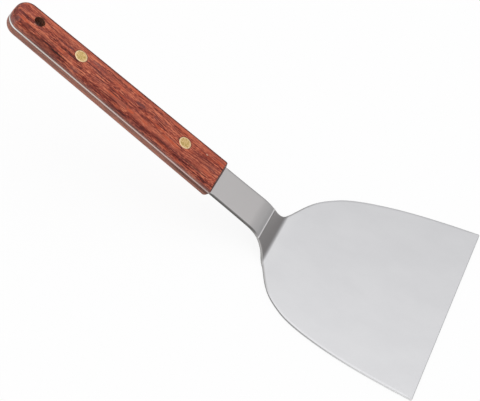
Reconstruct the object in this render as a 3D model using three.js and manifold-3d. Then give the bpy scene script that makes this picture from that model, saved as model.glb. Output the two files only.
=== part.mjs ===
// Grill spatula: a wide flared blade, cranked riser, neck and full tang in one steel sheet, and a
// two-scale wooden grip held by two pairs of brass cutler's rivets.
// Millimetres, +Z up. The blade's flat underside lies on z = 0, +X runs from the grip to the front
// edge, and the object is symmetric about y = 0. The origin is the middle of the blade's
// underside, halfway between the lower bend line and the front edge.
import * as THREE from "three";
import { mergeVertices } from "three/addons/utils/BufferGeometryUtils.js";
import Module from "manifold-3d";

const { degToRad, clamp } = THREE.MathUtils;
const QUARTER_TURN = Math.PI / 2;

// ---- steel sheet ----
const SHEET = 1.6; // thickness, blade to butt
const BLADE_LENGTH = 111.5; // lower bend line to front edge
const FRONT_CORNER_R = 1.0; // plan radius of the blade's two front corners
const RISER_ANGLE = degToRad(54.0); // riser above the blade's plane
const RISER_RUN = 7.2; // horizontal run of the riser, bend line to crease
const LOWER_BEND_R = 3.0; // concave radius on top of the sheet
const CREASE_ANGLE = degToRad(47.2); // slope just behind the crease
const CREASE_R = 3.0; // convex radius of the crease
const NECK_BEND_R = 26.0; // easy bend between the crease and the neck
const HANDLE_RISE = degToRad(24.8); // neck and grip above the blade's plane
const NECK_LENGTH = 29.8; // straight neck, easy bend to the front of the grip

// ---- grip ----
const GRIP_LENGTH = 153.9; // front end to butt
const GRIP_HALF_FRONT = 12.16; // half width of tang and scales at the front end
const GRIP_HALF_BUTT = 9.55; // half width at the butt, before its corners
const BUTT_CORNER_R = 8.4; // plan radius of the butt's two corners
const BUTT_CORNER_STEPS = 12;
const SCALE_FRONT = 6.35; // thickness of each scale at the front end
const SCALE_BUTT = 6.9; // thickness of each scale at the butt
const SCALE_TILT = Math.atan2(SCALE_BUTT - SCALE_FRONT, GRIP_LENGTH);
const SCALE_EDGE_R = 4.4; // rounding of each scale's outer edges
const SCALE_END_FOOT = 0.4; // the front end's foot on the tang, ahead of the grip's datum
const SCALE_END_LEAN = degToRad(17.4); // lean of the front end, back towards its outer edge
const SCALE_FRONT_R = 0.9; // easing of each scale's outer front edge
const SCALE_CORNER_R = 1.0; // easing of each scale's two front corners, in plan
const GLUE = 0.06; // adhesive line between tang and scale

// ---- rivets and hang hole, with places measured back from the grip's front end ----
const RIVETS = { front: 29.35, rear: 107.55 };
const RIVET_HEAD_R = 4.0;
const RIVET_HEAD_T = 1.6;
const RIVET_HEAD_EASE = 0.25; // eased rim of each head
const RIVET_PROUD = 0.04; // heads ground practically flush
const TUBE_R = 2.4; // hollow shank of the female half
const TUBE_BORE_R = 1.6;
const TUBE_END_GAP = 0.4; // tube's end to the male head
const PIN_R = 1.52; // solid shank of the male half
const PIN_END_GAP = 1.2; // pin's end to the female head
const PIN_CHAMFER = { radial: 0.4, axial: 0.6 };
const HEAD_GAP = 0.06; // head in its counterbore
const SHANK_GAP = 0.1; // tube in the holes through scales and tang
const HANG_HOLE = 137.95;
const HANG_HOLE_R = 3.2;
const HOLE_SEGMENTS = 48;
const COUNTERBORE_SEGMENTS = 64;
const RIVET_SEGMENTS = 64;

// Half width of the sheet, as [x forward of the lower bend line, half width],
// from the grip's front end to the front edge.
const HALF_WIDTHS = [
  [-42.0, 12.16], [-34.0, 12.22], [-26.0, 12.34], [-20.0, 12.46], [-15.0, 12.58],
  [-12.0, 12.7], [-10.0, 12.84], [-8.5, 13.02], [-7.2, 13.24], [-6.5, 13.42],
  [-5.5, 13.76], [-4.5, 14.26], [-3.5, 14.98], [-2.5, 16.0], [-1.5, 17.42],
  [-0.75, 18.95], [0.0, 20.9], [1.0, 22.9], [2.0, 24.8], [4.0, 28.6],
  [6.0, 32.3], [8.0, 35.6], [10.0, 38.5], [12.5, 41.5], [15.0, 44.0],
  [18.0, 46.5], [21.0, 48.75], [25.0, 51.45], [30.0, 54.0], [36.0, 56.4],
  [45.0, 59.25], [57.0, 62.35], [69.0, 64.75], [81.0, 66.6], [93.0, 68.1],
  [105.0, 69.3], [111.5, 69.85],
];

// Sections across the flat blade behind its front corners, as x forward of the lower bend line.
const BLADE_STATIONS = [
  108, 102, 96, 90, 84, 78, 72, 66, 60, 54, 48, 43, 39, 35, 32, 29, 26.5, 24,
  21.5, 19.5, 17.5, 16, 14.5, 13, 12, 11, 10, 9, 8, 7, 6, 5, 4, 3, 2.2,
];
const NECK_STATIONS = [5, 10, 15, 20, 25]; // distances up the neck from the easy bend

const wasm = await Module();
wasm.setup();

// ---- between three.js geometries and manifold solids ----
function solid(geometry) {
  const bare = new THREE.BufferGeometry();
  bare.setAttribute("position", geometry.getAttribute("position").clone());
  if (geometry.index) bare.setIndex(geometry.index.clone());
  const merged = mergeVertices(bare, 1e-4);
  return new wasm.Manifold(
    new wasm.Mesh({
      numProp: 3,
      vertProperties: new Float32Array(merged.attributes.position.array),
      triVerts: new Uint32Array(merged.index.array),
    }),
  );
}

function geometryOf(manifold) {
  const { numVert, numProp, vertProperties, triVerts } = manifold.getMesh();
  const positions = new Float32Array(numVert * 3);
  for (let i = 0; i < numVert; i++) {
    positions.set(vertProperties.subarray(i * numProp, i * numProp + 3), i * 3);
  }
  const indexed = new THREE.BufferGeometry();
  indexed.setAttribute("position", new THREE.BufferAttribute(positions, 3));
  indexed.setIndex(new THREE.BufferAttribute(new Uint32Array(triVerts), 1));
  const flat = indexed.toNonIndexed();
  flat.computeVertexNormals();
  return flat;
}

// A cylinder along z, at a distance back from the grip's front end.
const peg = (back, radius, bottom, top, segments = HOLE_SEGMENTS) =>
  new THREE.CylinderGeometry(radius, radius, top - bottom, segments)
    .rotateX(QUARTER_TURN)
    .translate(-back, 0, (bottom + top) / 2);

// ---- plan widths ----
// Half width of the sheet ahead of the grip: a smooth cubic through HALF_WIDTHS.
function sheetHalfWidth(x) {
  const last = HALF_WIDTHS.length - 1;
  let i = 1;
  while (i < last && HALF_WIDTHS[i][0] < x) i++;
  const [startX, startWidth] = HALF_WIDTHS[i - 1];
  const [endX, endWidth] = HALF_WIDTHS[i];
  const slopeAt = (k) => {
    const before = HALF_WIDTHS[Math.max(k - 1, 0)];
    const after = HALF_WIDTHS[Math.min(k + 1, last)];
    return (after[1] - before[1]) / (after[0] - before[0]);
  };
  const span = endX - startX;
  const t = clamp((x - startX) / span, 0, 1);
  const t2 = t * t;
  const t3 = t2 * t;
  return (
    (2 * t3 - 3 * t2 + 1) * startWidth +
    (t3 - 2 * t2 + t) * span * slopeAt(i - 1) +
    (3 * t2 - 2 * t3) * endWidth +
    (t3 - t2) * span * slopeAt(i)
  );
}

// Tang and scales taper evenly from the grip's front end to the butt.
const gripHalfWidth = (back) =>
  GRIP_HALF_FRONT + ((GRIP_HALF_BUTT - GRIP_HALF_FRONT) * back) / GRIP_LENGTH;

// The butt's rounded corner, inset from the outline, as [distance back, half width] points.
function buttCorner(inset) {
  const start = GRIP_LENGTH - BUTT_CORNER_R;
  const radius = BUTT_CORNER_R - inset;
  const points = [];
  for (let k = 0; k <= BUTT_CORNER_STEPS; k++) {
    const turn = (k / BUTT_CORNER_STEPS) * QUARTER_TURN;
    const halfWidth = gripHalfWidth(start) - inset - radius * (1 - Math.cos(turn));
    points.push([start + radius * Math.sin(turn), halfWidth]);
  }
  return points;
}

// ---- the sheet's side profile ----
// A station is a section of the sheet: a point of the top surface, with x from the lower bend
// line and z from the blade's top, the slope there, and the half width.
const station = (x, z, angle, inset = 0) => ({
  x, z, angle, halfWidth: sheetHalfWidth(x) - inset,
});

// The station a distance back and up the slope from another.
const upSlope = ({ x, z, angle }, distance) =>
  station(x - distance * Math.cos(angle), z + distance * Math.sin(angle), angle);

// Stations round a bend from the start's slope to another: concave on top if it steepens.
function bend(start, radius, endAngle, steps) {
  const turn = endAngle - start.angle;
  const signedR = Math.sign(turn) * radius;
  const stations = [];
  for (let k = 1; k <= steps; k++) {
    const angle = start.angle + (turn * k) / steps;
    const x = start.x - signedR * (Math.sin(angle) - Math.sin(start.angle));
    const z = start.z + signedR * (Math.cos(start.angle) - Math.cos(angle));
    stations.push(station(x, z, angle));
  }
  return stations;
}

function bladeStations() {
  const cornerSteps = 5;
  const stations = [];
  for (let k = 0; k <= cornerSteps; k++) {
    const turn = (k / cornerSteps) * QUARTER_TURN;
    const x = BLADE_LENGTH - FRONT_CORNER_R * (1 - Math.cos(turn));
    stations.push(station(x, 0, 0, FRONT_CORNER_R * (1 - Math.sin(turn))));
  }
  stations.push(...BLADE_STATIONS.map((x) => station(x, 0, 0)));
  return stations;
}

// Lower bend, riser, crease and easy bend, ending where the straight neck starts.
function crankStations() {
  const riserSteps = 8;
  const lowerTangent = LOWER_BEND_R * Math.tan(RISER_ANGLE / 2);
  const creaseTangent = CREASE_R * Math.tan((RISER_ANGLE - CREASE_ANGLE) / 2);
  const straight = RISER_RUN / Math.cos(RISER_ANGLE) - creaseTangent - lowerTangent;

  const stations = [station(lowerTangent, 0, 0)];
  stations.push(...bend(stations[0], LOWER_BEND_R, RISER_ANGLE, 8));
  const bendLine = { x: 0, z: 0, angle: RISER_ANGLE };
  for (let k = 1; k <= riserSteps; k++) {
    stations.push(upSlope(bendLine, lowerTangent + (straight * k) / riserSteps));
  }
  stations.push(...bend(stations.at(-1), CREASE_R, CREASE_ANGLE, 3));
  stations.push(...bend(stations.at(-1), NECK_BEND_R, HANDLE_RISE, 10));
  return stations;
}

const crank = crankStations();
const neckStart = crank.at(-1);
const gripFront = upSlope(neckStart, NECK_LENGTH);

const tangStations = () =>
  [[0, GRIP_HALF_FRONT], ...buttCorner(0)].map(([back, halfWidth]) => ({
    ...upSlope(gripFront, back),
    halfWidth,
  }));

// A rectangular section swept through the stations, butt to front edge.
function sheetGeometry() {
  const stations = [
    ...bladeStations(),
    ...crank,
    ...NECK_STATIONS.map((distance) => upSlope(neckStart, distance)),
    ...tangStations(),
  ].reverse();
  const corners = [[-1, -SHEET], [1, -SHEET], [1, 0], [-1, 0]];
  const section = new THREE.Shape(corners.map(([x, y]) => new THREE.Vector2(x, y)));
  const steps = stations.length - 1;
  const geometry = new THREE.ExtrudeGeometry(section, { depth: steps, steps, bevelEnabled: false });
  const position = geometry.getAttribute("position");
  for (let i = 0; i < position.count; i++) {
    const { x, z, angle, halfWidth } = stations[Math.round(position.getZ(i))];
    const side = position.getX(i);
    const height = position.getY(i); // from the top surface, square to it
    position.setXYZ(
      i,
      x + height * Math.sin(angle) - BLADE_LENGTH / 2,
      side * halfWidth,
      z + height * Math.cos(angle) + SHEET,
    );
  }
  return geometry;
}

// ---- the grip's own frame ----
// x forward along the grip, z out of the tang's top, origin on the tang's top at the front end.
const grip = new THREE.Group();
grip.position.set(gripFront.x - BLADE_LENGTH / 2, 0, gripFront.z + SHEET);
grip.rotation.y = HANDLE_RISE;
grip.updateMatrix();

function bladeAndTang() {
  const overrun = 5; // of the drills past both faces
  let blade = solid(sheetGeometry());
  const drill = (back, radius) => {
    const hole = peg(back, radius, -SHEET - overrun, overrun).applyMatrix4(grip.matrix);
    blade = blade.subtract(solid(hole));
  };
  for (const back of Object.values(RIVETS)) drill(back, TUBE_R + SHANK_GAP);
  drill(HANG_HOLE, HANG_HOLE_R);
  return geometryOf(blade);
}

// ---- one scale, lying on z = 0 with its rounded side up ----
const scaleTopAt = (back) => SCALE_FRONT + ((SCALE_BUTT - SCALE_FRONT) * back) / GRIP_LENGTH;
const CUT_BACK = -200; // x behind the butt, where the trimming solids end

// The round-edged body, running past the front end and below the tang's top.
// Its outline is inset by the edge radius, which the bevel gives back.
function scaleBody() {
  const radius = SCALE_EDGE_R;
  const frontOverrun = 12;
  const sunk = 4;
  const half = [
    new THREE.Vector2(frontOverrun, gripHalfWidth(-frontOverrun) - radius),
    ...buttCorner(radius).map(([back, halfWidth]) => new THREE.Vector2(-back, halfWidth)),
  ];
  const otherHalf = half.map(({ x, y }) => new THREE.Vector2(x, -y)).reverse();
  return new THREE.ExtrudeGeometry(new THREE.Shape([...half, ...otherHalf]), {
    depth: SCALE_FRONT - radius + sunk,
    steps: 1,
    bevelEnabled: true,
    bevelSize: radius,
    bevelThickness: radius,
    bevelSegments: 6,
  })
    .translate(0, 0, -sunk)
    .rotateY(SCALE_TILT);
}

// Trims the underside to the glue line and the front end to its lean, with the outer edge
// eased: a side profile swept across the grip.
function scaleSideTrim() {
  const sweep = 80;
  const radius = SCALE_FRONT_R;
  const endAt = (z) => SCALE_END_FOOT - z * Math.tan(SCALE_END_LEAN);
  const arcZ = SCALE_FRONT - radius;
  const arcX = endAt(arcZ) - radius / Math.cos(SCALE_END_LEAN);
  const side = new THREE.Shape();
  side.moveTo(CUT_BACK, GLUE);
  side.lineTo(endAt(GLUE), GLUE);
  side.absarc(arcX, arcZ, radius, SCALE_END_LEAN, QUARTER_TURN, false);
  side.lineTo(CUT_BACK, SCALE_FRONT - CUT_BACK * Math.tan(SCALE_TILT));
  return new THREE.ExtrudeGeometry(side, { depth: sweep, bevelEnabled: false, curveSegments: 5 })
    .rotateX(QUARTER_TURN)
    .translate(0, sweep / 2, 0);
}

// Eases the two front corners in plan, leaning with the end and flaring clear of the sides.
function scaleCornerTrim() {
  const radius = SCALE_CORNER_R;
  const halfWidth = GRIP_HALF_FRONT;
  const clear = { x: -radius - 0.01, y: halfWidth + 0.02 }; // just off the end of each arc
  const flare = { x: -30, y: 40 };
  const plan = new THREE.Shape();
  plan.moveTo(CUT_BACK, -flare.y);
  plan.lineTo(flare.x, -flare.y);
  plan.lineTo(clear.x, -clear.y);
  plan.absarc(-radius, -halfWidth + radius, radius, -QUARTER_TURN, 0, false);
  plan.absarc(-radius, halfWidth - radius, radius, 0, QUARTER_TURN, false);
  plan.lineTo(clear.x, clear.y);
  plan.lineTo(flare.x, flare.y);
  plan.lineTo(CUT_BACK, flare.y);
  const lean = new THREE.Matrix4().set(
    1, 0, -Math.tan(SCALE_END_LEAN), SCALE_END_FOOT,
    0, 1, 0, 0,
    0, 0, 1, 0,
    0, 0, 0, 1,
  );
  return new THREE.ExtrudeGeometry(plan, { depth: 30, bevelEnabled: false, curveSegments: 5 })
    .translate(0, 0, -10)
    .applyMatrix4(lean);
}

function drilledScale() {
  const below = -5; // the drills run from here
  const above = 20; // to here, clear of the scale
  let scale = solid(scaleBody())
    .intersect(solid(scaleSideTrim()))
    .intersect(solid(scaleCornerTrim()));
  const cut = (...hole) => {
    scale = scale.subtract(solid(peg(...hole)));
  };
  for (const back of Object.values(RIVETS)) {
    const seat = scaleTopAt(back) - RIVET_HEAD_T - HEAD_GAP;
    cut(back, RIVET_HEAD_R + HEAD_GAP, seat, above, COUNTERBORE_SEGMENTS);
    cut(back, TUBE_R + SHANK_GAP, below, above);
  }
  cut(HANG_HOLE, HANG_HOLE_R, below, above);
  return geometryOf(scale);
}

// ---- cutler's rivets: a male half from above pressed into a female half from below ----
function rivetHalves(back) {
  const top = scaleTopAt(back) + RIVET_PROUD;
  const bottom = -SHEET - top;
  const underHead = top - RIVET_HEAD_T;
  const overHead = bottom + RIVET_HEAD_T;
  const pinEnd = overHead + PIN_END_GAP;
  const tubeEnd = underHead - TUBE_END_GAP;
  // half sections, as [radius, z]
  const male = [
    [0, pinEnd],
    [PIN_R - PIN_CHAMFER.radial, pinEnd],
    [PIN_R, pinEnd + PIN_CHAMFER.axial],
    [PIN_R, underHead],
    [RIVET_HEAD_R, underHead],
    [RIVET_HEAD_R, top - RIVET_HEAD_EASE],
    [RIVET_HEAD_R - RIVET_HEAD_EASE, top],
    [0, top],
  ];
  const female = [
    [0, bottom],
    [RIVET_HEAD_R - RIVET_HEAD_EASE, bottom],
    [RIVET_HEAD_R, bottom + RIVET_HEAD_EASE],
    [RIVET_HEAD_R, overHead],
    [TUBE_R, overHead],
    [TUBE_R, tubeEnd],
    [TUBE_BORE_R, tubeEnd],
    [TUBE_BORE_R, overHead],
    [0, overHead],
  ];
  return { male, female };
}

function turned(halfSection) {
  const points = halfSection.map(([radius, z]) => new THREE.Vector2(radius, z));
  const lathe = new THREE.LatheGeometry(points, RIVET_SEGMENTS).rotateX(QUARTER_TURN);
  return geometryOf(solid(lathe));
}

// ---- materials ----
const material = (color, roughness, metalness) =>
  new THREE.MeshStandardMaterial({ color, roughness, metalness });
const steel = () => material(0xc9c9cb, 0.3, 1.0);
const wood = () => material(0x9c4632, 0.5, 0.0);
const brass = () => material(0xc9b36a, 0.38, 1.0);

// ---- assembly ----
function addMesh(parent, name, geometry, finish) {
  const mesh = new THREE.Mesh(geometry, finish);
  mesh.name = name;
  parent.add(mesh);
  return mesh;
}

const spatula = new THREE.Group();
spatula.name = "grill_spatula";
addMesh(spatula, "blade_and_tang", bladeAndTang(), steel());
spatula.add(grip);

addMesh(grip, "upper_scale", drilledScale(), wood());
// the lower scale is the same piece turned over about the grip's long axis
const lower = addMesh(grip, "lower_scale", drilledScale(), wood());
lower.position.z = -SHEET;
lower.rotation.x = Math.PI;

for (const [place, back] of Object.entries(RIVETS)) {
  for (const [half, section] of Object.entries(rivetHalves(back))) {
    const rivet = addMesh(grip, `${place}_rivet_${half}`, turned(section), brass());
    rivet.position.x = -back;
  }
}

export default spatula;
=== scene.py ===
"""A steel spatula with a riveted wooden grip.

The blade lies flat with its underside at z = 0 and its front edge towards +x. The sheet bends up
at a riser and runs back through the neck towards -x, rising, as the tang between two wooden scales.
The piece is symmetric about y = 0.
"""
import math
from itertools import accumulate

import bpy
from mathutils import Matrix, Vector
from mathutils.geometry import delaunay_2d_cdt


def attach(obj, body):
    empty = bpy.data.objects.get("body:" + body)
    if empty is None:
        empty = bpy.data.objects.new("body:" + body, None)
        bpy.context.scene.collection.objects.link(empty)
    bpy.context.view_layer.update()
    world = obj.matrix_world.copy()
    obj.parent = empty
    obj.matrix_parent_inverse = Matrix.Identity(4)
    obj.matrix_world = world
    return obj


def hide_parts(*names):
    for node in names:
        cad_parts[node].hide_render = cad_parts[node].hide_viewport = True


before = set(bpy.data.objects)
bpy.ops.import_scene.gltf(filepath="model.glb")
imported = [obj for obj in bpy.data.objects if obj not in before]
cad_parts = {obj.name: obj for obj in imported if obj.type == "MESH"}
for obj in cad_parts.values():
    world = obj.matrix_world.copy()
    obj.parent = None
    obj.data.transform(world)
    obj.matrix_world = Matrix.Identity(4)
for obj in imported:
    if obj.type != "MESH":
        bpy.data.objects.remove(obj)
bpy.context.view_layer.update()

# Lengths are millimetres in the CAD's own frame, turned into metres when a mesh is made.
MM = 0.001
QUARTER = math.pi / 2

# The sheet: blade, riser, neck and tang
SHEET = 1.6
BLADE_LENGTH = 111.5
FRONT_CORNER_R = 1.0
RISER_ANGLE = math.radians(54.0)
RISER_RUN = 7.2
LOWER_BEND_R = 3.0
CREASE_ANGLE = math.radians(47.2)
CREASE_R = 3.0
NECK_BEND_R = 26.0
RISE = math.radians(24.8)
NECK_LENGTH = 29.8
ROLL_IN, ROLL_DEEP = 1.4, 0.08  # the shallow roll at the blanked top edge
ROLL_IN_MIN = 0.05  # its width where it has died out
ROUND_IN, ROUND_DEEP = 0.32, 0.22  # the small rounding outside the roll
SHEET_UNDER_EASE = 0.3
RIDGE_HIGH, RIDGE_WIDE = 0.21, 0.45
TANG_SIDE_END = 145.4  # last mark on the tang's straight sides, from the grip's front

# The grip: two scales, one on each face of the tang
GRIP_LENGTH = 153.9
GRIP_HALF_FRONT = 12.16
GRIP_HALF_BUTT = 9.55
GRIP_TAPER = (GRIP_HALF_BUTT - GRIP_HALF_FRONT) / GRIP_LENGTH
BUTT_CORNER_R = 8.4
BUTT_START = GRIP_LENGTH - BUTT_CORNER_R
SCALE_FRONT = 6.35  # height of a scale's face above the tang, at its front and its butt
SCALE_BUTT = 6.9
SCALE_EDGE_R = 4.4
SCALE_END_FOOT = 0.4
SCALE_END_SLOPE = math.radians(17.4)
SCALE_FRONT_R = 0.9
SCALE_CORNER_R = 1.0
SCALE_FOOT_EASE = 0.18
GLUE = 0.06

# Holes and rivets, placed from the grip's front
RIVETS = [29.35, 107.55]
RIVET_HEAD_R = 4.0
RIVET_HEAD_T = 1.6
RIVET_PROUD = 0.04
RIVET_EASE = 0.28
HEAD_BREAK, SHANK_BREAK = 0.08, 0.06  # small chamfers
TUBE_R = 2.4
TUBE_BORE_R = 1.6
TUBE_SHORT = 0.4  # between the tube's end and the male head
PIN_R = 1.52
HEAD_GAP = 0.06
SHANK_GAP = 0.1
HANG_HOLE = 137.95
HANG_HOLE_R = 3.2
RIVET_EDGE_EASE, BORE_BREAK = 0.08, 0.05  # in the wood, round a rivet
HANG_EDGE_EASE, HANG_BREAK = 0.28, 0.1  # in the wood, round the hanging hole

# The sheet's outline: (x forward of the lower bend line, half width).
HALF_WIDTHS = [
    (-42, 12.16), (-34, 12.22), (-26, 12.34), (-20, 12.46), (-15, 12.58), (-12, 12.7),
    (-10, 12.84), (-8.5, 13.02), (-7.2, 13.24), (-6.5, 13.42), (-5.5, 13.76), (-4.5, 14.26),
    (-3.5, 14.98), (-2.5, 16.0), (-1.5, 17.42), (-0.75, 18.95), (0, 20.9), (1, 22.9),
    (2, 24.8), (4, 28.6), (6, 32.3), (8, 35.6), (10, 38.5), (12.5, 41.5), (15, 44.0),
    (18, 46.5), (21, 48.75), (25, 51.45), (30, 54.0), (36, 56.4), (45, 59.25), (57, 62.35),
    (69, 64.75), (81, 66.6), (93, 68.1), (105, 69.3), (111.5, 69.85),
]

# A rivet's outer face: (radius, drop), very slightly dished inside a fine turned ring.
RIVET_FACE = [
    (0.0, 0.035), (0.5, 0.034), (1.0, 0.031), (1.5, 0.026), (2.0, 0.02), (2.5, 0.013),
    (2.9, 0.006), (3.2, 0.0), (3.45, 0.0),
]

# The pin's rounded tip: (how far inside the pin's radius, height above the female head).
PIN_TIP = [(0.0, 1.8), (0.12, 1.55), (0.4, 1.25), (0.5, 1.2)]

# ------------------------------------------------------------------ curves and the side profile


def arc(start, stop, count):
    return [start + (stop - start) * k / count for k in range(count + 1)]


def spread(marks):
    """Values between successive (position, step) marks, cut evenly to about each mark's step."""
    out = []
    for (start, step), (stop, _) in zip(marks, marks[1:]):
        count = max(1, round(abs(stop - start) / step))
        out += [start + (stop - start) * k / count for k in range(count)]
    out.append(marks[-1][0])
    return out


def smooth_ramp(value, start, stop):
    share = min(1.0, max(0.0, (value - start) / (stop - start)))
    return share * share * (3 - 2 * share)


def half_width(x):
    """Half width of the sheet at x, on a smooth curve through the table."""
    last = len(HALF_WIDTHS) - 1
    i = 1
    while i < last and HALF_WIDTHS[i][0] < x:
        i += 1

    def step(k):
        return HALF_WIDTHS[k + 1][0] - HALF_WIDTHS[k][0]

    def chord(k):
        return (HALF_WIDTHS[k + 1][1] - HALF_WIDTHS[k][1]) / step(k)

    def slope(k):
        if k == 0:
            return chord(0)
        if k == last:
            return chord(k - 1)
        before, after = step(k - 1), step(k)
        return (before * chord(k) + after * chord(k - 1)) / (before + after)

    (x0, y0), (_, y1) = HALF_WIDTHS[i - 1], HALF_WIDTHS[i]
    width = step(i - 1)
    t = min(max((x - x0) / width, 0.0), 1.0)
    return (
        (2 * t**3 - 3 * t**2 + 1) * y0
        + (t**3 - 2 * t**2 + t) * width * slope(i - 1)
        + (3 * t**2 - 2 * t**3) * y1
        + (t**3 - t**2) * width * slope(i)
    )


def tapered_half(along):
    return GRIP_HALF_FRONT + (GRIP_HALF_BUTT - GRIP_HALF_FRONT) * along / GRIP_LENGTH


def top_at(along):
    return SCALE_FRONT + (SCALE_BUTT - SCALE_FRONT) * along / GRIP_LENGTH


# The sheet's side profile along its top surface, from the front edge back:
# (length, start slope, end slope). A straight run keeps its slope, and the others are arcs.
RISER_LENGTH = RISER_RUN / math.cos(RISER_ANGLE)
LOWER_TANGENT = LOWER_BEND_R * math.tan(RISER_ANGLE / 2)
CREASE_TANGENT = CREASE_R * math.tan((RISER_ANGLE - CREASE_ANGLE) / 2)
PARTS = [
    (BLADE_LENGTH - LOWER_TANGENT, 0.0, 0.0),
    (LOWER_BEND_R * RISER_ANGLE, 0.0, RISER_ANGLE),
    (RISER_LENGTH - LOWER_TANGENT - CREASE_TANGENT, RISER_ANGLE, RISER_ANGLE),
    (CREASE_R * (RISER_ANGLE - CREASE_ANGLE), RISER_ANGLE, CREASE_ANGLE),
    (NECK_BEND_R * (CREASE_ANGLE - RISE), CREASE_ANGLE, RISE),
    (NECK_LENGTH + GRIP_LENGTH, RISE, RISE),
]
# Where each part after the blade starts, as length along the sheet
_, AT_BEND, AT_RISER, AT_CREASE, AT_NECK_BEND, AT_NECK, _ = accumulate(
    (part[0] for part in PARTS), initial=0.0
)
AT_GRIP = AT_NECK + NECK_LENGTH
AT_RIDGE = (AT_CREASE + AT_NECK_BEND) / 2


def station(along):
    """(x, z, slope) of the top surface; x from the lower bend line, z from the blade's top."""
    x, z = BLADE_LENGTH, 0.0
    left = along
    last = len(PARTS) - 1
    for k, (length, start, stop) in enumerate(PARTS):
        step = min(left, length) if k < last else left
        if start == stop:
            x -= step * math.cos(start)
            z += step * math.sin(start)
            slope = start
        else:
            radius = length / (stop - start)
            slope = start + step / radius
            x -= radius * (math.sin(slope) - math.sin(start))
            z += radius * (math.cos(start) - math.cos(slope))
        left -= step
        if left <= 1e-9:
            break
    return x, z, slope


def on_sheet(along, y, height):
    x, z, slope = station(along)
    return Vector((
        x + height * math.sin(slope) - BLADE_LENGTH / 2,
        y,
        z + height * math.cos(slope) + SHEET,
    ))


def sheet_direction(along, n_along, n_y, n_up):
    """A direction given back along the sheet, across it and out of its top, in the CAD's frame."""
    slope = station(along)[2]
    sine, cosine = math.sin(slope), math.cos(slope)
    return Vector((-n_along * cosine + n_up * sine, n_y, n_along * sine + n_up * cosine))


# ------------------------------------------------------------------ meshes


def make_object(name, points, faces, plan, normals=None):
    """A smooth-shaded object whose vertices carry their plan coordinates for the materials."""
    mesh = bpy.data.meshes.new(name)
    mesh.from_pydata([point * MM for point in points], [], faces)
    mesh.validate(clean_customdata=False)
    for polygon in mesh.polygons:
        polygon.use_smooth = True
    attribute = mesh.attributes.new("plan", "FLOAT_VECTOR", "POINT")
    attribute.data.foreach_set("vector", [c for entry in plan for c in entry])
    if normals is not None:
        mesh.normals_split_custom_set_from_vertices([tuple(normal) for normal in normals])
    mesh.update()
    return new_object(name, mesh)


def new_object(name, data):
    obj = bpy.data.objects.new(name, data)
    bpy.context.scene.collection.objects.link(obj)
    return obj


def inside_polygon(point, polygon):
    inside = False
    for i, a in enumerate(polygon):
        b = polygon[i - 1]
        if (a.y > point.y) != (b.y > point.y):
            if point.x < (b.x - a.x) * (point.y - a.y) / (b.y - a.y) + a.x:
                inside = not inside
    return inside


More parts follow.
